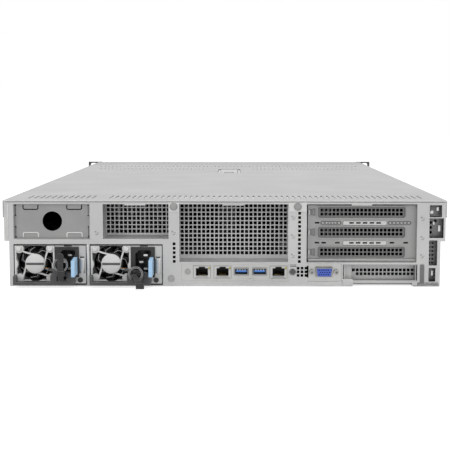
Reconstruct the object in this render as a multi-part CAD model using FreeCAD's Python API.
"""A 2U rack server with two hot-swap power supplies and eight hot-swap drives.

The rear, with its ports, faces -Y and the drive bays face +Y. +X is to the right as seen from
the rear, +Z is up, and the origin is the middle of the whole object's footprint, on its base.
"""
import FreeCAD, Part
import math
import os

V = FreeCAD.Vector
os.makedirs("parts", exist_ok=True)

# ---- driving dimensions (mm) ----
COVER_W = 447.0          # over the cover's side skirts
UPPER_W = 444.6          # chassis above the step
LOWER_W = 435.0          # chassis below the step, narrower for the slide rails
RACK_W = 482.6           # over the ears, 19 inch
HEIGHT = 87.0            # 2U less clearance
STEP_Z = 46.0            # where the sides step out
BODY_L = 780.0           # rear face to the front plane of the bays
REAR_REACH = 34.0        # the lower cord strap stands this far behind the rear face
FRONT_REACH = 16.0       # the ear handles stand this far ahead of the front plane
SHEET = 1.2              # chassis sheet
COVER_SHEET = 1.0
REAR = -(BODY_L + FRONT_REACH - REAR_REACH) / 2
FRONT = REAR + BODY_L
FLOOR = SHEET
ROOF = HEIGHT - COVER_SHEET
FLANGE_TOP = ROOF - 0.6  # the shadow gap under the cover
WINDOW_TOP = 83.4
WINDOW_LOW = 24.6

PSU_W, PSU_H, PSU_L = 73.3, 40.0, 185.0
PSU_Z = 2.0
PSU_LEFT = {"a": -212.8, "b": -135.9}
PSU_GAP = 0.3

PORT_Z = 14.8            # height of the port centres
BOARD_TOP = 8.2
BOARD_T = 1.8
VENT_PITCH = 4.46
VENT_HOLE = 3.3
SLOT_PITCH = 20.32       # expansion card pitch
RISER_Z = 54.6           # middle card slot

COLUMNS, ROWS = 4, 2
BAY_PITCH_X = 107.6
BAY_W, BAY_H = 105.4, 28.4
ROW_Z = (2.0, 32.2)
CARRIER_L = 168.0
BEZEL_T = 12.0

FANS = 4
FAN_SIZE, FAN_DEPTH = 80.0, 38.0
FAN_PITCH = 104.0
FAN_Y = REAR + 400.0

COVER_L = 676.0          # rear face to the seam with the fixed front cover
LATCH_X = 2.0
LATCH_Y0, LATCH_Y1 = REAR + 467.0, REAR + 563.0
WELL_W, LATCH_W = 33.0, 24.4
WELL_DEPTH = 5.4


# ---- helpers ----
def box(x0, x1, y0, y1, z0, z1):
    return Part.makeBox(x1 - x0, y1 - y0, z1 - z0, V(x0, y0, z0))


def fuse(shapes):
    return shapes[0].multiFuse(shapes[1:]).removeSplitter()


def cylinder(radius, length, start, direction):
    return Part.makeCylinder(radius, length, start, direction)


def ring(outer, inner, length, start, direction):
    return cylinder(outer, length, start, direction).cut(cylinder(inner, length, start, direction))


def rect_wire(x0, x1, z0, z1, y):
    return Part.makePolygon([V(x0, y, z0), V(x1, y, z0), V(x1, y, z1), V(x0, y, z1), V(x0, y, z0)])


def square_wire(x, z, side, y):
    half = side / 2
    return rect_wire(x - half, x + half, z - half, z + half, y)


def circle_wire(x, z, radius, y):
    return Part.Wire(Part.makeCircle(radius, V(x, y, z), V(0, 1, 0)))


def sheet(outline, holes, y, thickness):
    """A flat panel across Y: one outline wire, any number of hole wires."""
    face = Part.makeFace([outline] + holes, "Part::FaceMakerBullseye")
    return face.extrude(V(0, thickness, 0))


def prism_y(points, y0, y1):
    """A solid with this X-Z outline, from y0 to y1."""
    wire = Part.makePolygon([V(x, y0, z) for x, z in points + points[:1]])
    return Part.Face(wire).extrude(V(0, y1 - y0, 0))


def prism_x(points, x0, x1):
    """A solid with this Y-Z outline, from x0 to x1."""
    wire = Part.makePolygon([V(x0, y, z) for y, z in points + points[:1]])
    return Part.Face(wire).extrude(V(x1 - x0, 0, 0))


def prism_z(points, z0, z1):
    """A solid with this X-Y outline, from z0 to z1."""
    wire = Part.makePolygon([V(x, y, z0) for x, y in points + points[:1]])
    return Part.Face(wire).extrude(V(0, 0, z1 - z0))


def rounded_rect(x0, x1, z0, z1, radius, y):
    """A rounded rectangle wire in the plane y."""
    r = radius
    corners = [(x1 - r, z0 + r, 270), (x1 - r, z1 - r, 0), (x0 + r, z1 - r, 90), (x0 + r, z0 + r, 180)]
    edges, ends = [], []
    for cx, cz, start in corners:
        pts = [V(cx + r * math.cos(math.radians(start + a)), y, cz + r * math.sin(math.radians(start + a)))
               for a in (0, 45, 90)]
        edges.append(Part.Arc(*pts).toShape())
        ends.append((pts[0], pts[2]))
    for i, (_, end) in enumerate(ends):
        edges.append(Part.makeLine(end, ends[(i + 1) % 4][0]))
    return Part.Wire(Part.__sortEdges__(edges))


def grid(x0, z0, columns, rows, pitch, side, y, skip=()):
    """Square hole wires from the lower left one."""
    return [square_wire(x0 + c * pitch, z0 + r * pitch, side, y)
            for r in range(rows) for c in range(columns) if (c, r) not in skip]


NODES = {}


def save(name, shapes):
    """Writes one node: one solid, or a group of separate solids."""
    solids = [s for shape in shapes for s in shape.Solids]
    NODES[name] = solids
    Part.makeCompound(solids).exportStep(f"parts/{name}.step")


# ---- chassis ----
def chassis_tray():
    low, up = LOWER_W / 2, UPPER_W / 2
    end = FRONT - 8
    parts = [box(-low, low, REAR, end, 0, FLOOR)]
    for s in (-1, 1):
        xs = sorted((s * low, s * (low - SHEET)))
        parts.append(box(xs[0], xs[1], REAR, end, 0, STEP_Z + SHEET))
        xs = sorted((s * (low - SHEET), s * up))
        parts.append(box(xs[0], xs[1], REAR, end, STEP_Z, STEP_Z + SHEET))
        xs = sorted((s * up, s * (up - SHEET)))
        parts.append(box(xs[0], xs[1], REAR, end, STEP_Z, ROOF - 0.3))
    bay_top = PSU_Z + PSU_H + 0.8
    cage_right = PSU_LEFT["b"] + PSU_W + PSU_GAP
    parts.append(box(-low, cage_right + 1, REAR + SHEET, REAR + 200, bay_top, bay_top + 1))
    for x in ((PSU_LEFT["a"] + PSU_W + PSU_GAP, PSU_LEFT["b"] - PSU_GAP), (cage_right, cage_right + 1)):
        parts.append(box(x[0], x[1], REAR + SHEET, REAR + 200, 0, bay_top + 1))
    tray = fuse(parts)
    notch = box(129.8, 190.4, REAR - 1, REAR + 12, -1, FLOOR + 1)
    return tray.cut(notch)


# window name: (x0, x1, z0, z1) in the rear panel
WINDOWS = {
    "blank": (-213.0, -135.5, 47.6, WINDOW_TOP),
    "vent_left": (-122.6, -56.3, 48.1, WINDOW_TOP),
    "vent_centre": (-45.5, 64.2, WINDOW_LOW, WINDOW_TOP),
    "riser": (82.8, 193.7, WINDOW_LOW, WINDOW_TOP),
    "card": (119.7, 194.7, 0.0, 22.6),
    "ports": (-43.6, 65.6, 5.0, 23.4),
    "video": (83.3, 118.6, 5.0, 23.4),
    "side_1": (206.0, 218.4, 70.4, 82.6),
    "side_2": (206.0, 220.4, 49.4, 69.4),
    "side_3": (206.0, 214.4, 21.4, 47.0),
    "side_4": (206.0, 213.0, 5.0, 19.0),
}
POST_HOLES = ((-50.8, 25.4, 5), (75.6, 25.4, 12))   # x, lowest z, count
POST_PITCH = 4.45
POST_HOLE = 2.9
LAMP_HOLES_AT = (74.4, 11.2)         # lower left of the nine lamp holes
LAMP_PITCH = (4.0, 3.7)
LAMP_HOLE = 2.8
TOP_LIPS = ((-100.7, -79.6), (-1.7, 19.4), (127.9, 148.4))
UID_X = 68.9
UID_R = 2.5


def through(x0, x1, z0, z1):
    """A cutter through the rear sheet."""
    return box(x0, x1, REAR - 1, REAR + 3, z0, z1)


def rear_panel():
    low, up = LOWER_W / 2 - SHEET, UPPER_W / 2 - SHEET
    base, sill = FLOOR, STEP_Z + SHEET
    outline = [(-low, base), (low, base), (low, sill), (up, sill), (up, FLANGE_TOP),
               (-up, FLANGE_TOP), (-up, sill), (-low, sill)]
    panel = prism_y(outline, REAR, REAR + SHEET)
    cuts = [through(*window) for window in WINDOWS.values()]
    for left in PSU_LEFT.values():
        cuts.append(through(left - PSU_GAP, left + PSU_W + PSU_GAP, 0, PSU_Z + PSU_H + 0.8))
    half = POST_HOLE / 2
    for x, z, count in POST_HOLES:
        for i in range(count):
            zc = z + i * POST_PITCH
            cuts.append(through(x - half, x + half, zc - half, zc + half))
    half = LAMP_HOLE / 2
    for i in range(3):
        for j in range(3):
            x, z = LAMP_HOLES_AT[0] + LAMP_PITCH[0] * i, LAMP_HOLES_AT[1] + LAMP_PITCH[1] * j
            cuts.append(through(x - half, x + half, z - half, z + half))
    cuts.append(cylinder(UID_R + 0.15, 4, V(UID_X, REAR - 1, PORT_Z), V(0, 1, 0)))
    panel = panel.cut(Part.makeCompound(cuts))
    extra = [box(x0, x1, REAR, REAR + SHEET, WINDOW_TOP - 1.2, WINDOW_TOP + 0.5) for x0, x1 in TOP_LIPS]
    for x in (WINDOWS["riser"][0] - SHEET, WINDOWS["riser"][1]):      # returns beside the riser window
        extra.append(box(x, x + SHEET, REAR, REAR + 26, WINDOW_LOW, WINDOW_TOP))
    for x0, x1 in ((-56.1, -45.8), (65.0, 82.7)):       # tabs that carry the rivets
        extra.append(box(x0, x1, REAR - 0.8, REAR, 76.0, FLANGE_TOP))
    extra.append(box(205.0, 221.0, REAR - 0.5, REAR, 69.5, 70.3))
    return fuse([panel] + extra)


def panel_rivets():
    places = ((-51.0, REAR - 0.8, 80.9, 3.0), (73.7, REAR - 0.8, 81.0, 3.0), (-53.7, REAR, 7.8, 2.7),
              (-37.2, REAR + SHEET, PORT_Z, 3.0))
    return [cylinder(r, 1.2, V(x, y - 1.2, z), V(0, 1, 0)) for x, y, z, r in places]


def front_cover():
    half = COVER_W / 2
    y0, y1 = REAR + COVER_L + 0.6, FRONT - 8
    parts = [box(-half, half, y0, y1, ROOF, HEIGHT)]
    for s in (-1, 1):
        xs = sorted((s * half, s * (half - COVER_SHEET)))
        parts.append(box(xs[0], xs[1], y0, y1, 62, HEIGHT))
    parts.append(box(-LOWER_W / 2, LOWER_W / 2, y1, FRONT, ROOF, HEIGHT))
    return fuse(parts)


# rows of vents in the cover: first x, last x, count, near and far y from the rear face
VENT_ROWS = ((-202.5, -136.5, 12, 27, 63), (-118.5, 202.5, 55, 27, 63), (-194, -38, 27, 556, 570),
             (38, 200, 28, 556, 570), (-202, 202, 68, 629, 643))
LATCH_AXIS = (LATCH_Y1 - 5, ROOF - 2.4)
LATCH_PIN_R = 1.5
COVER_SLOT = 2.3
SKIRT_Z = 70.0           # lower edge of the sliding cover's side skirts


def top_cover():
    half = COVER_W / 2
    y0, y1 = REAR - 0.3, REAR + COVER_L
    parts = [box(-half, half, y0, y1, ROOF, HEIGHT)]
    for s in (-1, 1):
        xs = sorted((s * half, s * (half - COVER_SHEET)))
        skirt = [(y0, SKIRT_Z + 1.5), (y0 + 1.5, SKIRT_Z), (y1, SKIRT_Z), (y1, HEIGHT), (y0, HEIGHT)]
        parts.append(prism_x(skirt, xs[0], xs[1]))
    cover = fuse(parts)
    slots = []
    half_slot = COVER_SLOT / 2
    for x0, x1, count, near, far in VENT_ROWS:
        for i in range(count):
            x = x0 + i * (x1 - x0) / (count - 1)
            slots.append(box(x - half_slot, x + half_slot, REAR + near, REAR + far, ROOF - 1, HEIGHT + 1))
    w0, w1 = LATCH_X - WELL_W / 2, LATCH_X + WELL_W / 2
    well = box(w0, w1, LATCH_Y0, LATCH_Y1, ROOF - 1, HEIGHT + 1)
    cover = cover.cut(Part.makeCompound(slots + [well]))
    floor_z, wall = ROOF - WELL_DEPTH, 1.0
    outer = box(w0 - wall, w1 + wall, LATCH_Y0 - wall, LATCH_Y1 + wall, floor_z - wall, ROOF)
    inner = box(w0, w1, LATCH_Y0, LATCH_Y1, floor_z, HEIGHT + 1)
    bore = cylinder(LATCH_PIN_R + 0.05, WELL_W + 4, V(w0 - 2, *LATCH_AXIS), V(1, 0, 0))
    return fuse([cover, outer.cut(inner)]).cut(bore)


def cover_latch():
    x0, x1 = LATCH_X - LATCH_W / 2, LATCH_X + LATCH_W / 2
    y0, y1 = LATCH_Y0 + 2, LATCH_Y1 - 2.5
    plate = box(x0, x1, y0, y1, ROOF - 2.0, ROOF + 0.4)
    grip = box(x0 + 5, x1 - 5, y0 + 5, y0 + 22, ROOF - 3, ROOF + 2)
    lip = box(x0, x1, y0, y0 + 2, ROOF - 4, ROOF + 0.4)
    barrel = cylinder(2.4, LATCH_W, V(x0, *LATCH_AXIS), V(1, 0, 0))
    pin = cylinder(LATCH_PIN_R, WELL_W + 1.6, V(LATCH_X - WELL_W / 2 - 0.8, *LATCH_AXIS), V(1, 0, 0))
    return fuse([plate.cut(grip), lip, barrel, pin])


# ---- blanks in the rear windows ----
TAB_X = (-195.8, -151.6)
TAB_W, TAB_H, TAB_GAP = 14.0, 4.2, 1.0
CABLE_HOLE = (-174.0, 65.9, 9.9)     # x, z and radius
NOTCH_Z = (49.8, 60.0, 71.6, 82.0)
NOTCH_R = 0.8


def tab_slot(xc, z_edge, up, y):
    """The U-shaped slot round a tab that stays joined to the plate at the window's edge."""
    half, tip = TAB_W / 2, z_edge - up * TAB_H
    z_lo, z_hi = sorted((tip, tip + up * 3 * TAB_H))
    inner = Part.Face(rounded_rect(xc - half, xc + half, z_lo, z_hi, 1.2, y - 1))
    half += TAB_GAP
    outer = Part.Face(rounded_rect(xc - half, xc + half, z_lo - TAB_GAP, z_hi + TAB_GAP, 2.0, y - 1))
    slot = outer.extrude(V(0, 3, 0)).cut(inner.extrude(V(0, 3, 0)))
    z_lo, z_hi = sorted((z_edge, z_edge - up * 2 * TAB_H))
    return slot.common(box(xc - TAB_W, xc + TAB_W, y - 1, y + 2, z_lo, z_hi))


def bay_blank():
    x0, x1, z0, z1 = WINDOWS["blank"]
    z1 -= 0.2
    y = REAR + 3
    hole_x, hole_z, hole_r = CABLE_HOLE
    plate = sheet(rect_wire(x0, x1, z0, z1, y), [circle_wire(hole_x, hole_z, hole_r, y)], y, 1.0)
    cuts = []
    for xc in TAB_X:
        cuts += [tab_slot(xc, z1 - 0.7, 1, y), tab_slot(xc, z0 + 1.7, -1, y)]
    for x in (x0 + 1.9, x1 - 1.9):                      # stress notches and slits along both sides
        cuts += [cylinder(NOTCH_R, 3, V(x, y - 1, z), V(0, 1, 0)) for z in NOTCH_Z]
        for low, high in (NOTCH_Z[:2], NOTCH_Z[2:]):
            cuts.append(box(x - 0.2, x + 0.2, y - 1, y + 2, low, high))
    plate = plate.cut(Part.makeCompound(cuts))
    walls = [box(x0, x0 + 1.0, REAR + 0.2, y, z0, z1),
             box(x1 - 1.0, x1, REAR + 0.2, y, z0, z1),
             box(x0, x1, REAR + 0.2, y, z0, z0 + 1.0)]
    return fuse([plate] + walls)


def vent_tray(name, columns, rows, x_first, z_first):
    """A deep tray behind a window, open to the rear, with a perforated back."""
    x0, x1, z0, z1 = WINDOWS[name]
    x0, x1, z0, z1 = x0 - 1.5, x1 + 1.5, z0 - 0.8, z1 + 0.8
    y0, y1 = REAR + SHEET, REAR + 32
    holes = grid(x_first, z_first, columns, rows, VENT_PITCH, VENT_HOLE, y1)
    back = sheet(rect_wire(x0, x1, z0, z1, y1), holes, y1, 1.0)
    walls = [box(x0, x0 + 0.8, y0, y1, z0, z1), box(x1 - 0.8, x1, y0, y1, z0, z1),
             box(x0, x1, y0, y1, z0, z0 + 0.8), box(x0, x1, y0, y1, z1 - 0.8, z1)]
    return fuse([back] + walls)


# ---- expansion cards ----
CAGE_X = (84.2, 193.7)
CAGE_Y = REAR + 6
CAGE_END = REAR + 232
CAGE_LOW, CAGE_TOP = 26.0, 82.2
CAGE_T = 1.0
SLOT_X = (94.2, 182.6)
SLOT_TALL = 11.2
RIM = 0.8
UPPER_SLITS = (93.7, 128.4, 135.2, 142.0, 148.8, 155.6)
LOWER_SLITS = (100.5, 114.3, 169.5, 183.4)


def slot_frames():
    return [RISER_Z + (i - 1) * SLOT_PITCH for i in range(3)]


def riser_cage():
    x0, x1 = CAGE_X
    left, right = SLOT_X
    top = CAGE_TOP - CAGE_T
    tall, rim_r = SLOT_TALL / 2, 2.4
    holes = [rounded_rect(left, right, z - tall, z + tall, rim_r, CAGE_Y) for z in slot_frames()]
    upper, lower = [RISER_Z + s * SLOT_PITCH / 2 - 0.6 for s in (1, -1)]
    for z, places in ((upper, UPPER_SLITS), (lower, UPPER_SLITS + LOWER_SLITS)):
        holes += [rect_wire(x - 2.3, x + 2.3, z - 0.8, z + 0.8, CAGE_Y) for x in places]
    parts = [sheet(rect_wire(x0, x1, CAGE_LOW, CAGE_TOP, CAGE_Y), holes, CAGE_Y, CAGE_T)]
    y = CAGE_Y - RIM
    for z in slot_frames():                              # raised rim round each card slot
        edge = rounded_rect(left - 1.2, right + 1.2, z - tall - 1.2, z + tall + 1.2, 3.2, y)
        parts.append(sheet(edge, [rounded_rect(left, right, z - tall, z + tall, rim_r, y)], y, RIM))
        parts.append(box(x0 + 1.8, x0 + 5.8, CAGE_Y - 1.4, CAGE_Y, z - 2.6, z + 2.6))
    for z in (upper, lower):                             # stiffening ridge between the slots
        parts.append(box(119.7, 163.6, y, CAGE_Y, z - 2.4, z - 1.4))
    parts.append(box(x0, x1, REAR + 1.4, CAGE_Y, CAGE_LOW - 0.8, CAGE_LOW + 0.2))
    parts.append(box(x0, x0 + CAGE_T, CAGE_Y, CAGE_END, CAGE_LOW, CAGE_TOP))
    parts.append(box(x0, x1, CAGE_Y, CAGE_END, top, CAGE_TOP))
    parts.append(box(*WINDOWS["riser"][:2], REAR + 12, CAGE_END, top, CAGE_TOP))
    return fuse(parts)


CARD_PITCH, CARD_HOLE = 4.0, 2.9


def slot_blanks():
    blanks = []
    y = CAGE_Y + 1.0
    for z in slot_frames():
        holes = grid(98.6, z - 2.0, 21, 2, CARD_PITCH, CARD_HOLE, y)
        blanks.append(sheet(rect_wire(86.0, 188.4, z - 6.2, z + 6.2, y), holes, y, 0.9))
    return blanks


def card_blank():
    x0, x1 = 120.6, 193.8
    y = REAR + 13
    low, top = 5.4, 22.4
    holes = grid(131.6, 11.0, 16, 2, CARD_PITCH, CARD_HOLE, y, skip=((0, 0),))
    plate = sheet(rect_wire(x0, x1, low, top, y), holes, y, 1.0)
    foot = box(*WINDOWS["card"][:2], REAR + 0.6, REAR + 1.6, 3.3, low + 0.8)
    parts = [plate, foot, box(x0, x1, REAR + 0.6, y, low, low + 0.8),
             box(x0, x0 + 0.8, REAR + 1, y, low, top),
             box(x0, x0 + 8.5, REAR + 7, REAR + 8, low, top - 1.4)]
    return fuse(parts)


# ---- ports ----
JACK_X = (-22.8, -1.9, 54.7)
USB_X = (17.0, 35.6)
VGA_X = 100.6
PLATE_Y = REAR + SHEET
JACK_W, JACK_H, JACK_D = 17.2, 12.4, 25.0


def io_plate():
    y = PLATE_Y
    z_jack = BOARD_TOP + JACK_H / 2
    holes = [rect_wire(x - JACK_W / 2 - 0.2, x + JACK_W / 2 + 0.2, z_jack - JACK_H / 2 - 0.2,
                       z_jack + JACK_H / 2 + 0.2, y) for x in JACK_X]
    holes += [rect_wire(x - 7.4, x + 7.4, 11.2, 19.0, y) for x in USB_X]
    holes += [rect_wire(VGA_X - 8.6, VGA_X + 8.6, PORT_Z - 5.2, PORT_Z + 5.2, y)]
    holes += [circle_wire(VGA_X + s * 12.35, PORT_Z, 1.8, y) for s in (-1, 1)]
    holes += [circle_wire(UID_X, PORT_Z, UID_R + 0.15, y), rect_wire(72.6, 85.0, 9.0, 21.0, y)]
    holes += [circle_wire(-37.2, PORT_Z, 1.6, y)]
    return sheet(rect_wire(-44.4, 119.2, 4.2, 23.75, y), holes, y, 0.5)


def network_jacks():
    jacks = []
    for x in JACK_X:
        y0 = REAR + 0.4
        body = box(x - JACK_W / 2, x + JACK_W / 2, y0, y0 + JACK_D, BOARD_TOP, BOARD_TOP + JACK_H)
        cavity = box(x - 6.1, x + 6.1, y0 - 1, y0 + 18, BOARD_TOP + 2.7, BOARD_TOP + 10.2)
        step = box(x - 3.2, x + 3.2, y0 - 1, y0 + 18, BOARD_TOP + 10.1, BOARD_TOP + 11.7)
        led = box(x + 6.6, x + 8.2, y0 - 1, y0 + 1, BOARD_TOP + 9.2, BOARD_TOP + 11.2)
        jacks.append(body.cut(Part.makeCompound([cavity, step, led])))
    return jacks


def port_shells():
    """The steel shells of the two USB sockets and of the video socket."""
    shells = []
    y0 = REAR + 0.5
    for x in USB_X:
        outer = box(x - 7.1, x + 7.1, y0, y0 + 17, 11.6, 18.6)
        inner = box(x - 6.3, x + 6.3, y0 - 1, y0 + 16, 12.4, 17.9)
        legs = [box(x + s * 6.6 - 0.4, x + s * 6.6 + 0.4, y0 + 6, y0 + 10, BOARD_TOP, 12.0) for s in (-1, 1)]
        shells.append(fuse([outer.cut(inner)] + legs))
    flange = box(VGA_X - 15.4, VGA_X + 15.4, PLATE_Y + 0.5, PLATE_Y + 1.5, PORT_Z - 6.2, PORT_Z + 6.2)
    trapezoid = [(VGA_X - 8.4, PORT_Z + 4.6), (VGA_X - 7.2, PORT_Z - 4.6), (VGA_X + 7.2, PORT_Z - 4.6),
                 (VGA_X + 8.4, PORT_Z + 4.6)]
    inner = [(VGA_X - 7.8, PORT_Z + 4.1), (VGA_X - 6.7, PORT_Z - 4.1), (VGA_X + 6.7, PORT_Z - 4.1),
             (VGA_X + 7.8, PORT_Z + 4.1)]
    collar = prism_y(trapezoid, REAR - 4.2, PLATE_Y + 1.5)
    jacks = []
    for s in (-1, 1):
        jack = cylinder(2.6, 4.0, V(VGA_X + s * 12.35, REAR - 3.0, PORT_Z), V(0, 1, 0))
        stem = cylinder(1.6, 3.0, V(VGA_X + s * 12.35, REAR + 0.5, PORT_Z), V(0, 1, 0))
        bore = cylinder(1.2, 4, V(VGA_X + s * 12.35, REAR - 4, PORT_Z), V(0, 1, 0))
        jacks.append(jack.fuse(stem).cut(bore))
    shells.append(fuse([flange, collar] + jacks).cut(prism_y(inner, REAR - 6, PLATE_Y + 3)))
    return shells


def port_inserts():
    """The coloured plastic of the ports: two USB tongues and the video socket's body."""
    tongues = []
    y0 = REAR + 0.5
    for x in USB_X:
        tongues.append(fuse([box(x - 5.4, x + 5.4, y0 + 0.8, y0 + 15, 14.4, 16.3),
                             box(x - 6.2, x + 6.2, y0 + 13, y0 + 16, 12.5, 17.8)]))
    face = [(VGA_X - 7.7, PORT_Z + 4.0), (VGA_X - 6.6, PORT_Z - 4.0), (VGA_X + 6.6, PORT_Z - 4.0),
            (VGA_X + 7.7, PORT_Z + 4.0)]
    insert = prism_y(face, REAR - 3.4, REAR + 14)
    pins = []
    for r, shift in ((-1, -0.4), (0, 0.6), (1, -0.4)):
        pins += [cylinder(0.6, 5, V(VGA_X + (c - 2) * 2.3 + shift, REAR - 4, PORT_Z + r * 2.2), V(0, 1, 0))
                 for c in range(5)]
    feet = box(VGA_X - 6, VGA_X + 6, REAR + 8, REAR + 14, BOARD_TOP, PORT_Z)
    return tongues + [fuse([insert.cut(Part.makeCompound(pins)), feet])]


def uid_button():
    y = REAR + 0.2
    return fuse([cylinder(UID_R, 3.2, V(UID_X, y, PORT_Z), V(0, 1, 0)),
                 cylinder(UID_R + 0.8, 0.8, V(UID_X, y + 3.2, PORT_Z), V(0, 1, 0))])


# ---- inside ----
def mainboard():
    z0, z1 = BOARD_TOP - BOARD_T, BOARD_TOP
    outline = [(-56, REAR + 4), (118, REAR + 4), (118, REAR + 30), (210, REAR + 30), (210, REAR + 392),
               (-210, REAR + 392), (-210, REAR + 206), (-56, REAR + 206)]
    board = prism_z(outline, z0, z1)
    posts = [cylinder(3.0, z0 - FLOOR, V(x, REAR + y, FLOOR), V(0, 0, 1))
             for x, y in ((-40, 20), (100, 20), (200, 60), (-200, 225), (0, 225), (200, 225),
                          (-200, 380), (0, 380), (200, 380))]
    riser_socket = box(110, 120, REAR + 60, REAR + 200, BOARD_TOP, BOARD_TOP + 12)
    uid_switch = box(UID_X - 3, UID_X + 3, REAR + 5.2, REAR + 10, BOARD_TOP, PORT_Z + 3)
    return fuse([board, riser_socket, uid_switch] + posts)


SINK_X = (-105.0, 105.0)
SINK_Y = REAR + 246


def cpu_heatsinks():
    sinks = []
    for x in SINK_X:
        parts = [box(x - 39, x + 39, SINK_Y, SINK_Y + 108, BOARD_TOP, BOARD_TOP + 9)]
        for i in range(20):
            fx = x - 38.6 + i * 4.02
            parts.append(box(fx, fx + 0.8, SINK_Y + 2, SINK_Y + 106, BOARD_TOP + 9, BOARD_TOP + 60))
        sinks.append(fuse(parts))
    return sinks


def memory_modules():
    sticks = []
    for x in SINK_X:
        for side in (-1, 1):
            for i in range(4):
                xc = x + side * (49 + i * 10)
                if abs(xc) > 208:
                    continue
                socket = box(xc - 3.2, xc + 3.2, SINK_Y - 18, SINK_Y + 124, BOARD_TOP, BOARD_TOP + 8)
                stick = box(xc - 0.7, xc + 0.7, SINK_Y - 14, SINK_Y + 120, BOARD_TOP + 8, BOARD_TOP + 31)
                sticks.append(socket.fuse(stick))
    return sticks


def fan_centres():
    return [(i - (FANS - 1) / 2) * FAN_PITCH for i in range(FANS)]


FAN_Z = 43.5


def fan_bracket():
    """The cross wall with an opening for each fan."""
    y = FAN_Y + FAN_DEPTH + 1
    holes = [rounded_rect(x - 39.5, x + 39.5, FAN_Z - 38, FAN_Z + 38, 8, y) for x in fan_centres()]
    wall = sheet(rect_wire(-216.2, 216.2, FLOOR, 84.5, y), holes, y, 1.2)
    parts = [wall]
    for i in range(FANS + 1):
        x = (i - FANS / 2) * FAN_PITCH
        parts.append(box(x - 0.6, x + 0.6, FAN_Y - 4, y, FLOOR, 80))
    return fuse(parts)


def fan_frames():
    frames = []
    for x in fan_centres():
        half = FAN_SIZE / 2
        frame = box(x - half, x + half, FAN_Y, FAN_Y + FAN_DEPTH, FAN_Z - half, FAN_Z + half)
        frame = frame.cut(cylinder(38.2, FAN_DEPTH, V(x, FAN_Y, FAN_Z), V(0, 1, 0)))
        hub = cylinder(16, 4, V(x, FAN_Y, FAN_Z), V(0, 1, 0))
        spokes = []
        for k in range(4):
            spoke = box(x - 1.5, x + 1.5, FAN_Y, FAN_Y + 3, FAN_Z + 12, FAN_Z + 38.6)
            spoke.rotate(V(x, 0, FAN_Z), V(0, 1, 0), 45 + 90 * k)
            spokes.append(spoke)
        shaft = cylinder(2.0, 20, V(x, FAN_Y + 2, FAN_Z), V(0, 1, 0))
        foot = box(x - 30, x + 30, FAN_Y + 4, FAN_Y + 30, FLOOR, FAN_Z - half)
        frames.append(fuse([frame, hub, shaft, foot] + spokes))
    return frames


def blade(x, z, y0, y1, root, tip, angle):
    """One slanted fan blade between two radii, turned by angle about the fan's axis."""
    lean = 0.55 * (y1 - y0)
    pts = [V(x - lean, y0, z), V(x - lean + 1.4, y0, z), V(x + lean + 1.4, y1, z), V(x + lean, y1, z),
           V(x - lean, y0, z)]
    pts = [p + V(0, 0, root) for p in pts]
    slab = Part.Face(Part.makePolygon(pts)).extrude(V(0, 0, tip - root))
    slab.rotate(V(x, 0, z), V(0, 1, 0), angle)
    return slab


def rotor(x, z, y0, y1, hub_r, tip_r, bore_r, blades):
    hub = ring(hub_r, bore_r, y1 - y0, V(x, y0, z), V(0, 1, 0))
    parts = [hub]
    for k in range(blades):
        parts.append(blade(x, z, y0 + 1.5, y1 - 1.5, hub_r - 1.0, tip_r + 1.5, 360.0 * k / blades))
    body = fuse(parts)
    return body.common(cylinder(tip_r, y1 - y0, V(x, y0, z), V(0, 1, 0)))


def backplane():
    y = FRONT - 8 - CARRIER_L - 4
    holes = []
    for c in range(COLUMNS):
        for r in range(ROWS):
            x = (c - (COLUMNS - 1) / 2) * BAY_PITCH_X
            z = ROW_Z[r] + BAY_H / 2
            holes.append(rounded_rect(x - 46, x - 8, z - 8, z + 8, 3, y))
            holes.append(rounded_rect(x + 24, x + 46, z - 8, z + 8, 3, y))
    board = sheet(rect_wire(-214.5, 214.5, 3.0, 60.0, y), holes, y, 2.0)
    parts = [board]
    for c in range(COLUMNS):
        for r in range(ROWS):
            x = (c - (COLUMNS - 1) / 2) * BAY_PITCH_X
            z = ROW_Z[r] + 6
            parts.append(box(x - 4, x + 20, y + 2, y + 4.6, z, z + 6))
    return fuse(parts)


def drive_cage():
    y0, y1 = FRONT - 8 - CARRIER_L - 2, FRONT
    shelf_1 = (30.9, 31.7)
    shelf_2 = (61.1, 62.1)
    half = 2 * BAY_PITCH_X
    parts = [box(-half, half, y0, y1, *shelf_1), box(-half, half, y0, y1, *shelf_2)]
    for i in range(COLUMNS + 1):
        x = (i - COLUMNS / 2) * BAY_PITCH_X
        if i in (0, COLUMNS):
            x = math.copysign(half - 0.1, x)
        parts.append(box(x - 0.6, x + 0.6, y0, y1, FLOOR, 62.1))
    fascia_y = FRONT - 1.2
    holes = grid(-180, 67.5, 41, 3, 6.0, 4.2, fascia_y)
    holes.append(rect_wire(120, 196, 66, 82, fascia_y))
    parts.append(sheet(rect_wire(-half, half, 62.1, ROOF, fascia_y), holes, fascia_y, 1.2))
    return fuse(parts)


FRONT_POCKETS = ((129.0, 143.0, 70.4, 77.0), (149.0, 163.0, 70.4, 77.0), (170.4, 188.6, 68.8, 78.6))


def front_ports():
    """The small front panel with two USB sockets and a video socket."""
    y = FRONT
    holes = [rect_wire(x - 6.4, x + 6.4, 71.0, 76.4, y) for x in (136.0, 156.0)]
    holes.append(rect_wire(171.0, 188.0, 69.4, 78.0, y))
    panel = sheet(rect_wire(118.5, 197.5, 64.6, 83.4, y), holes, y, 1.6)
    pockets = []
    for x0, x1, z0, z1 in FRONT_POCKETS:
        outer = box(x0, x1, y - 16, y, z0, z1)
        inner = box(x0 + 0.6, x1 - 0.6, y - 15, y + 1, z0 + 0.6, z1 - 0.6)
        pockets.append(outer.cut(inner))
        pockets.append(box(x0 + 2, x1 - 2, y - 15.5, y - 1, (z0 + z1) / 2 - 0.2, (z0 + z1) / 2 + 1.6))
    return fuse([panel] + pockets)


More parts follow.
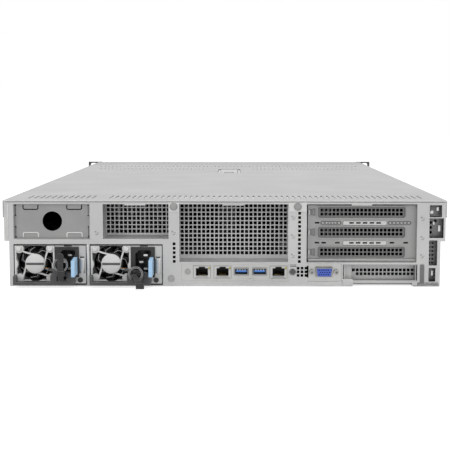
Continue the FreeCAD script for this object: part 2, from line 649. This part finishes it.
# ---- drives ----
def bay_centre(column):
    return (column - (COLUMNS - 1) / 2) * BAY_PITCH_X


LEVER_PIN_R = 1.5
LEVER_FIT = 0.05


def lever_axis(column):
    return bay_centre(column) - BAY_W / 2 + 6.0, FRONT + 8.6


def drive_carrier(column, row):
    x, z0 = bay_centre(column), ROW_Z[row]
    left, right, top = x - BAY_W / 2, x + BAY_W / 2, z0 + BAY_H
    back = FRONT - CARRIER_L - 4
    bezel = box(left, right, FRONT, FRONT + BEZEL_T, z0, top)
    pocket = box(left + 3.0, right - 12, FRONT + 5.4, FRONT + BEZEL_T + 1, z0 + 3.2, top - 3.2)
    vents = []
    for i in range(10):
        for j in range(3):
            x_low, z_low = left + 14 + i * 7.0, z0 + 5.2 + j * 6.2
            vents.append(box(x_low, x_low + 4.6, FRONT - 1, FRONT + 6, z_low, z_low + 4.6))
    pin_x, pin_y = lever_axis(column)
    bore = cylinder(LEVER_PIN_R + LEVER_FIT, BAY_H - 2, V(pin_x, pin_y, z0 + 1), V(0, 0, 1))
    bezel = bezel.cut(Part.makeCompound([pocket, bore] + vents))
    rails = [box(left + 0.3, left + 1.5, back, FRONT, z0 + 1.0, top - 2.0),
             box(right - 1.5, right - 0.3, back, FRONT, z0 + 1.0, top - 2.0),
             box(left + 0.3, right - 0.3, back, FRONT, z0 + 0.3, z0 + 1.1)]
    carrier = fuse([bezel] + rails)
    drive = box(x - 50.6, x + 50.6, back + 6, back + 153, z0 + 1.1, z0 + 1.1 + 25.4)
    return [carrier, drive]


def drive_lever(column, row):
    z0 = ROW_Z[row]
    pin_x, pin_y = lever_axis(column)
    z_low, z_high = z0 + 3.5, z0 + BAY_H - 3.5
    end = bay_centre(column) + BAY_W / 2 - 12.8
    plate = box(pin_x, end, FRONT + 8.2, FRONT + BEZEL_T - 0.6, z_low, z_high)
    windows = []
    for i in range(4):
        x_low = pin_x + 10 + i * 15.5
        windows.append(box(x_low, x_low + 12, FRONT + 7, FRONT + BEZEL_T + 1, z_low + 4, z_high - 4))
    catch = box(end - 7, end, FRONT + 6.2, FRONT + BEZEL_T - 0.6, z_low + 3, z_high - 3)
    barrel = cylinder(2.9, z_high - z_low, V(pin_x, pin_y, z_low), V(0, 0, 1))
    pin = cylinder(LEVER_PIN_R, BAY_H - 3.2, V(pin_x, pin_y, z0 + 1.6), V(0, 0, 1))
    return fuse([plate.cut(Part.makeCompound(windows)), catch, barrel, pin])


# ---- ears ----
EAR_HOLE_X = 465.1 / 2
EAR_HOLE_Z = (5.9, 82.1)
POWER_X, POWER_Z = -229.5, 62.0
POWER_R = 4.2


def rack_ear(side):
    """One ear: the flange that meets the rack post, its side strap and the pull handle."""
    low, out = LOWER_W / 2, RACK_W / 2
    half = COVER_W / 2
    flange = box(low, out, FRONT - 6, FRONT - 3, 0.6, HEIGHT + 0.6)
    slot_r, slot_half = 3.4, 5.2
    for z in EAR_HOLE_Z:
        ends = [EAR_HOLE_X + s * (slot_half - slot_r) for s in (-1, 1)]
        slot = [box(*ends, FRONT - 8, FRONT + 2, z - slot_r, z + slot_r)]
        slot += [cylinder(slot_r, 10, V(x, FRONT - 8, z), V(0, 1, 0)) for x in ends]
        flange = flange.cut(fuse(slot))
    strap = box(low, low + 2.0, FRONT - 60, FRONT - 3, 4, STEP_Z - 2)
    grip = [(half - 4, FRONT - 3), (out, FRONT - 3), (out, FRONT + 4), (out - 5, FRONT + FRONT_REACH),
            (half - 1, FRONT + FRONT_REACH), (half - 4, FRONT + 8)]
    handle = prism_z(grip, 14, 74)
    finger = cylinder(18, 70, V(half - 14, FRONT - 2, 0), V(0, 0, 1))
    finger = finger.common(box(0, out, FRONT - 20, FRONT + 30, 22, 52))
    ear = fuse([flange, strap, handle.cut(finger)])
    if side < 0:
        ear = ear.mirror(V(0, 0, 0), V(1, 0, 0))
        seat = cylinder(POWER_R + 0.15, 8, V(POWER_X, FRONT + FRONT_REACH - 4, POWER_Z), V(0, 1, 0))
        ear = ear.cut(seat)
    return ear


def power_button():
    y = FRONT + FRONT_REACH
    return cylinder(POWER_R, 2.2, V(POWER_X, y - 2.4, POWER_Z), V(0, 1, 0))


STUD_R = 3.0
STUD_Y = (60.0, 300.0, 540.0, 690.0)
STUD_Z = 24.0


def rail_studs():
    """Shouldered studs on the lower sides, which drop into the slide rails."""
    studs = []
    for s in (-1, 1):
        for y in STUD_Y:
            start = V(s * LOWER_W / 2, REAR + y, STUD_Z)
            neck = cylinder(STUD_R, 3.0, start, V(s, 0, 0))
            head = cylinder(STUD_R + 1.6, 1.4, start + V(s * 3.0, 0, 0), V(s, 0, 0))
            studs.append(neck.fuse(head))
    return studs


# ---- power supplies: x is measured from the case's left side ----
PSU_WALL = 0.8
PSU_FAN_RIGHT = 41.2
PSU_FAN_X = 21.6
PSU_FAN_Z = 23.1
PSU_BORE_R = 17.8
PSU_BLADE_R = 16.4
PSU_HUB_R = 10.0
PSU_MOUTH = 6.0                      # depth of the open front of the fan frame
BOSSES = ((5.2, 38.4, 4.6), (36.9, 38.4, 4.2), (5.4, 8.6, 4.0), (36.6, 8.6, 4.0))    # x, z, radius
INLET_X = (41.6, 65.6)
INLET_Z = (9.2, 40.0)
LAMP = (66.8, 6.2)
FIN_X = (60.8, 64.4)
FIN_Z = (12.4, 30.0)
FIN_REACH = 22.0
FIN_HINGE_X, FIN_HINGE_Y = 63.0, -2.6
FIN_PIN_R = 0.7


def psu_case(left):
    z0, z1 = PSU_Z, PSU_Z + PSU_H
    x1 = left + PSU_W
    y0, y1 = REAR + 0.4, REAR + PSU_L
    wall = PSU_WALL
    inside = box(left + wall, x1 - wall, y0 + wall, y1 - wall, z0 + wall, z1 - wall)
    shell = box(left, x1, y0, y1, z0, z1).cut(inside)
    cuts = [box(left + wall, left + PSU_FAN_RIGHT, y0 - 1, y0 + 2, z0 + wall, z1 - wall),
            box(left + INLET_X[0], left + INLET_X[1], y0 - 1, y0 + 2, *INLET_Z),
            box(left + 50.4, left + 58.6, y0 - 1, y0 + 2, z1 - 1.6, z1 - 0.7),
            box(left + 66.6, left + 71.0, y0 - 1, y0 + 2, z0 + 26.8, z0 + 28.0),
            box(left + 12, left + 52, y1 - 3, y1 + 1, z0 + 6, z0 + 10)]
    cuts += [cylinder(1.6, 4, V(left + LAMP[0], y0 - 1, LAMP[1]), V(0, 1, 0))]
    half = 2.4
    for i in range(8):
        for j in range(3):
            x, z = left + 10 + 7 * i, z0 + 16 + 7 * j
            cuts.append(box(x - half, x + half, y1 - 3, y1 + 1, z - half, z + half))
    case = shell.cut(Part.makeCompound(cuts))
    board = fuse([box(left + 4, x1 - 4, REAR + 60, y1 - 4, z0 + wall, z0 + 2.8),
                  box(left + 13, left + 51, y1 - 32, y1 - 30, z0 + 2.8, z0 + 8.8),
                  box(left + 13, left + 51, y1 - 30, y1 + 8, z0 + 7.2, z0 + 8.8)])
    spring_plate = box(left + INLET_X[1] + 0.2, left + 71.8, REAR - 0.4, y0, 13.4, 28.1)
    return [case, board, spring_plate]


def swirl_arm(x, z, y0, y1, angle):
    """A thin arm that leaves the hub along its edge and bends out into a corner boss."""
    upper = [V(x + u, y0, z + w) for u, w in ((0.0, 9.9), (-7.3, 11.5), (-14.6, 14.2))]
    lower = [V(x + u, y0, z + w) for u, w in ((0.0, 8.5), (-7.4, 9.9), (-14.6, 12.4))]
    wire = Part.Wire([Part.Arc(*upper).toShape(), Part.makeLine(upper[2], lower[2]),
                      Part.Arc(*reversed(lower)).toShape(), Part.makeLine(lower[0], upper[0])])
    arm = Part.Face(wire).extrude(V(0, y1 - y0, 0))
    arm.rotate(V(x, 0, z), V(0, 1, 0), angle)
    return arm


def psu_fan_frame(left):
    """A round duct behind a square mouth with a boss in each corner and four arms to the hub."""
    x, z = left + PSU_FAN_X, PSU_FAN_Z
    x0, x1 = left + PSU_WALL, left + PSU_FAN_RIGHT
    z0, z1 = PSU_Z + PSU_WALL, PSU_Z + PSU_H - PSU_WALL
    y0, y1 = REAR - 1.0, REAR + 27
    side, sill = 1.6, 3.4
    along = V(0, 1, 0)
    duct = box(x0, x1, y0, y1, z0, z1).cut(cylinder(PSU_BORE_R, 40, V(x, y0 - 1, z), along))
    mouth = box(x0 + side, x1 - side, y0 - 1, y0 + PSU_MOUTH, z0 + sill, z1 + 1)
    waist_r = 8.0                                        # each side wall swells at mid height
    keep = [cylinder(r, PSU_MOUTH, V(left + u, y0, w), along) for u, w, r in BOSSES]
    for u, w in ((x0 + side + 1.4 - waist_r, 22.4), (x1 - side - 1.4 + waist_r, 20.4)):
        keep.append(cylinder(waist_r, PSU_MOUTH, V(u, y0, w), along))
    for u, w, _ in BOSSES:                               # web from each boss into its corner
        xs = sorted((left + u, x0 if u < PSU_FAN_X else x1))
        zs = sorted((w, z0 if w < PSU_FAN_Z else z1))
        keep.append(box(*xs, y0, y0 + PSU_MOUTH, *zs))
    walls = duct.cut(mouth)
    limits = box(x0, x1, y0, y1, z0, z1)
    hub = [cylinder(PSU_HUB_R, 2.0, V(x, y0 - 1.2, z), along), cylinder(6.0, 4.0, V(x, y0 + 0.6, z), along),
           cylinder(1.5, 22, V(x, y0 + 2, z), along)]
    arms = [swirl_arm(x, z, y0, y0 + 1.6, 90 * k) for k in range(4)]
    body = fuse([walls] + keep + arms).common(limits)
    screws = [cylinder(2.9, 1.0, V(left + u, y0 - 1.0, w), along) for u, w, _ in BOSSES[:2]]
    return fuse([body] + hub + screws)


def inlet_centre(left):
    return left + (INLET_X[0] + INLET_X[1]) / 2 + 0.3, 24.3


def psu_inlet(left):
    """The mains inlet with the latch's hinge lugs on its face, and the status lamp's ring."""
    x0, x1 = left + INLET_X[0], left + INLET_X[1]
    z0, z1 = INLET_Z
    y0, y1 = REAR - 0.8, REAR + 24
    xc, zc = inlet_centre(left)
    body = box(x0, x1, y0, y1, z0, z1)
    key, corner, half_w, half_h = 4.0, 1.2, 8.0, 12.6
    cavity = [(xc + half_w - corner, zc - half_h), (xc + half_w, zc - half_h + corner),
              (xc + half_w, zc + half_h - corner), (xc + half_w - corner, zc + half_h),
              (xc - half_w + key, zc + half_h), (xc - half_w, zc + half_h - key),
              (xc - half_w, zc - half_h + key), (xc - half_w + key, zc - half_h)]
    body = body.cut(prism_y(cavity, y0 - 1, y1 - 3))
    pins = [box(px - 2.0, px + 2.0, y0 + 3.5, y1 - 2.5, pz - 1.0, pz + 1.0)
            for px, pz in ((xc + 2.2, zc + 7.0), (xc - 2.2, zc), (xc + 2.2, zc - 7.0))]
    hinge_x, hinge_y = left + FIN_HINGE_X, REAR + FIN_HINGE_Y
    lugs = []
    for z in (FIN_Z[0] - 1.7, FIN_Z[1] + 0.3):
        lug = box(hinge_x - 1.5, x1, hinge_y - 1.4, y0, z, z + 1.4)
        lugs.append(lug.cut(cylinder(FIN_PIN_R + 0.05, 6, V(hinge_x, hinge_y, z - 2), V(0, 0, 1))))
    lamp_x, lamp_z = left + LAMP[0], LAMP[1]
    lamp = ring(2.6, 1.5, 1.0, V(lamp_x, REAR - 0.6, lamp_z), V(0, 1, 0))
    lens = cylinder(1.5, 2.4, V(lamp_x, REAR - 0.2, lamp_z), V(0, 1, 0))
    return [fuse([body] + pins + lugs), fuse([lamp, lens])]


def psu_latch(left):
    """The release fin, which swings towards the inlet about the pin at its foot."""
    hinge_x, hinge_y = left + FIN_HINGE_X, REAR + FIN_HINGE_Y
    x0, x1 = left + FIN_X[0], left + FIN_X[1]
    z0, z1 = FIN_Z
    tip = REAR - FIN_REACH
    fin = prism_x([(hinge_y, z0 + 0.8), (tip, z0), (tip, z1 - 1.3), (hinge_y, z1)], x0, x1)
    barrel = cylinder(1.4, z1 - z0, V(hinge_x, hinge_y, z0), V(0, 0, 1))
    pin = cylinder(FIN_PIN_R, z1 - z0 + 3.0, V(hinge_x, hinge_y, z0 - 1.5), V(0, 0, 1))
    return fuse([fin, barrel, pin])


HANDLE_Y = (-12.0, -3.4)             # rearmost and nearest face, from the rear sheet


def psu_handle(left):
    """The low pull bar under the fan, which rises into a sloping grip in front of the inlet."""
    y0, y1 = REAR + HANDLE_Y[0], REAR + HANDLE_Y[1]
    bar = box(left + 0.8, left + 44, y0, y1, 2.8, 5.9)
    stub = box(left + 0.8, left + 3.4, y0, y1, 2.8, 12.0)
    grip = [(35.7, 19.4), (35.7, 17.7), (41.6, 16.6), (41.6, 13.4), (38.2, 12.6), (38.2, 2.8), (61.4, 2.8),
            (62.4, 3.8), (62.2, 10.0), (59.4, 11.0), (59.2, 14.6)]
    grip = prism_y([(left + u, z) for u, z in grip], y0, y1)
    strap_way = box(left + 44.6, left + 55.2, y0 - 1, y1 + 1, 6.8, 11.8)
    scoop = box(left + 40.5, left + 60.6, y0 + 1.6, y1 + 1, 4.2, 13.6)
    feet = [box(left + 0.8, left + 3.4, y1, REAR - 1.0, 4.0, 10.0),
            box(left + 57.0, left + 62.0, y1, REAR + 0.4, 4.0, 8.8)]
    return fuse([bar, stub, grip.cut(strap_way).cut(scoop)] + feet)


CLAMP_R, CLAMP_L = 7.4, 6.0
CLAMP_Y = REAR - 18.4
STRAP_T = 1.5
STRAP_Z = 8.3                        # where the strap leaves the case, under the inlet


def strap_lead(x, width, y_out):
    """The flat strap from the case out to the clamp."""
    half, thick = width / 2, STRAP_T / 2
    return box(x - half, x + half, y_out, REAR + 0.4, STRAP_Z - thick, STRAP_Z + thick)


def strap_upright(left):
    """The cord retainer standing up: a strap out of the case, its clamp and the strap's free end."""
    x, clamp_z = left + 49.9, 24.3
    width, top = 5.4, 36.2
    front = CLAMP_Y - STRAP_T
    lead = strap_lead(x, width, CLAMP_Y)
    band = box(x - width / 2, x + width / 2, front, CLAMP_Y, STRAP_Z + 2, top - 3)
    cap_r = 3.4
    cap = cylinder(cap_r, STRAP_T + 0.8, V(x, front - 0.8, top - cap_r), V(0, 1, 0))
    cap = cap.fuse(box(x - cap_r, x + cap_r, front - 0.8, CLAMP_Y, top - 6, top - cap_r))
    block = box(x - 3.6, x + 4.2, CLAMP_Y - 3.0, CLAMP_Y + CLAMP_L - 0.4, 13.2, 18.4)
    neck = box(x - width / 2, x + width / 2, CLAMP_Y, CLAMP_Y + 3, STRAP_Z, 14)
    clamp = ring(CLAMP_R, 6.2, CLAMP_L, V(x, CLAMP_Y, clamp_z), V(0, 1, 0))
    return fuse([lead, band, cap, block, neck, clamp])


def strap_hanging(left):
    """The cord retainer hanging down: the clamp low before the grip and the strap's end drooping."""
    x, clamp_z = left + 47.8, 15.3
    width = 5.4
    lead = strap_lead(x, width, CLAMP_Y + 3)
    clamp = ring(CLAMP_R, 5.4, CLAMP_L, V(x, CLAMP_Y, clamp_z), V(0, 1, 0))
    seat = box(x - 4.6, x + 0.6, CLAMP_Y - 0.8, CLAMP_Y + 2, STRAP_Z + 0.4, 14.9)
    tongue = Part.makeLoft([rect_wire(x - 4.6, x + 0.6, 11.8, 14.9, CLAMP_Y + 0.6),
                            rect_wire(x + 1.8, x + 8.6, 3.4, 6.4, REAR - REAR_REACH + 2.4)], True, True)
    knob = box(x + 1.4, x + 9.4, REAR - REAR_REACH, REAR - REAR_REACH + 4.4, 2.6, 8.6)
    return fuse([lead, clamp, seat, tongue, knob])


def build():
    save("chassis_tray", [chassis_tray()])
    save("rear_panel", [rear_panel()])
    save("panel_rivets", panel_rivets())
    save("front_cover", [front_cover()])
    save("top_cover", [top_cover()])
    save("cover_latch", [cover_latch()])
    save("rear_blanks", [bay_blank(), vent_tray("vent_left", 15, 7, -120.7, 52.5),
                         vent_tray("vent_centre", 25, 12, -44.2, 30.0)])
    save("riser_cage", [riser_cage()])
    save("slot_blanks", slot_blanks())
    save("card_blank", [card_blank()])
    save("io_plate", [io_plate()])
    save("network_jacks", network_jacks())
    save("port_shells", port_shells())
    save("port_inserts", port_inserts())
    save("uid_button", [uid_button()])
    save("mainboard", [mainboard()])
    save("cpu_heatsinks", cpu_heatsinks())
    save("memory_modules", memory_modules())
    save("fan_bracket", [fan_bracket()])
    save("fan_frames", fan_frames())
    for i, x in enumerate(fan_centres()):
        save(f"fan_rotor_{i + 1}", [rotor(x, FAN_Z, FAN_Y + 6, FAN_Y + 34, 16.0, 37.2, 2.05, 7)])
    save("drive_backplane", [backplane()])
    save("drive_cage", [drive_cage()])
    save("front_ports", [front_ports()])
    for row in range(ROWS):
        for column in range(COLUMNS):
            number = row * COLUMNS + column + 1
            save(f"drive_carrier_{number}", drive_carrier(column, row))
            save(f"drive_lever_{number}", [drive_lever(column, row)])
    save("rack_ears", [rack_ear(-1), rack_ear(1)])
    save("power_button", [power_button()])
    save("rail_studs", rail_studs())
    for key, left in PSU_LEFT.items():
        save(f"psu_case_{key}", psu_case(left))
        save(f"psu_fan_frame_{key}", [psu_fan_frame(left)])
        fan = rotor(left + PSU_FAN_X, PSU_FAN_Z, REAR + 5.6, REAR + 24, 11.0, PSU_BLADE_R, 1.55, 7)
        save(f"psu_rotor_{key}", [fan])
        save(f"psu_inlet_{key}", psu_inlet(left))
        save(f"psu_latch_{key}", [psu_latch(left)])
        save(f"psu_handle_{key}", [psu_handle(left)])
    save("psu_strap_a", [strap_upright(PSU_LEFT["a"])])
    save("psu_strap_b", [strap_hanging(PSU_LEFT["b"])])


build()
everything = Part.makeCompound([s for solids in NODES.values() for s in solids])
bounds = everything.BoundBox
print("nodes", len(NODES))
print(f"x {bounds.XMin:.2f}..{bounds.XMax:.2f}  y {bounds.YMin:.2f}..{bounds.YMax:.2f}  "
      f"z {bounds.ZMin:.2f}..{bounds.ZMax:.2f}")
for name, solids in NODES.items():
    bad = [s for s in solids if not s.isValid() or s.Volume <= 0]
    if bad:
        print("invalid", name, len(bad))
